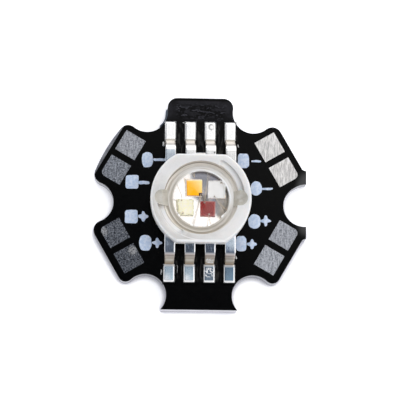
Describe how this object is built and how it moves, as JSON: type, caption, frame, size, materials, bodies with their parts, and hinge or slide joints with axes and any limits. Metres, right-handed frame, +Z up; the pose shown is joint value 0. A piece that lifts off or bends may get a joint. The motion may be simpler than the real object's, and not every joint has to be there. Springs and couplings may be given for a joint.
{
  "type": "high power led module",
  "caption": "Multi-colour high power light emitter with a clear dome, moulded body and gull-wing leads, soldered on a six-armed star board with half-round screw notches and corner wire pads.",
  "frame": {"origin": "on the underside of the aluminium plate, below the emitter's middle and 0.08 mm off the outline's middle", "axes": "+Z up out of the dome, +Y towards leads 1 to 4, +X towards the notch with the broken panel tabs"},
  "size_m": [0.0199, 0.02, 0.0064],
  "materials": {
    "aluminium_plate": "punched sheet, bright edge",
    "dielectric": "thin filled resin film",
    "bare_copper": "flat copper foil",
    "tinned_copper": "hot tinned copper pads, finely scratched",
    "black_mask": "glossy black solder mask",
    "solder": "bright reflowed solder",
    "plated_lead": "bright tin plated strip",
    "silver_plate": "silver plated copper",
    "milky_moulding": "milky translucent moulding",
    "clear_lens": "clear polished dome with a frosted flange",
    "clear_gel": "clear soft silicone",
    "amber_phosphor": "amber yellow phosphor plate",
    "white_die": "chip under the phosphor",
    "blue_die": "pale grey chip",
    "green_die": "cream chip",
    "red_die": "dark red chip",
    "die_bond": "die bonding layer",
    "gold_wire": "fine gold wire"
  },
  "bodies": {
    "root": {"base_plate": "aluminium_plate", "dielectric_layer": "dielectric", "thermal_pad": "bare_copper", "solder_mask": "black_mask", "slug_solder": "solder", "heat_slug": "silver_plate", "housing": "milky_moulding", "lens": "clear_lens", "gel_fill": "clear_gel", "phosphor_plate": "amber_phosphor", "trace_1": "tinned_copper", "trace_2": "tinned_copper", "trace_3": "tinned_copper", "trace_4": "tinned_copper", "trace_5": "tinned_copper", "trace_6": "tinned_copper", "trace_7": "tinned_copper", "trace_8": "tinned_copper", "lead_1": "plated_lead", "lead_2": "plated_lead", "lead_3": "plated_lead", "lead_4": "plated_lead", "lead_5": "plated_lead", "lead_6": "plated_lead", "lead_7": "plated_lead", "lead_8": "plated_lead", "lead_solder_1": "solder", "lead_solder_2": "solder", "lead_solder_3": "solder", "lead_solder_4": "solder", "lead_solder_5": "solder", "lead_solder_6": "solder", "lead_solder_7": "solder", "lead_solder_8": "solder", "die_attach_white": "die_bond", "die_attach_blue": "die_bond", "die_attach_green": "die_bond", "die_attach_red": "die_bond", "die_white": "white_die", "die_blue": "blue_die", "die_green": "green_die", "die_red": "red_die", "bond_wire_1": "gold_wire", "bond_wire_2": "gold_wire", "bond_wire_3": "gold_wire", "bond_wire_4": "gold_wire", "bond_wire_5": "gold_wire", "bond_wire_6": "gold_wire", "bond_wire_7": "gold_wire", "bond_wire_8": "gold_wire"}
  },
  "joints": []
}
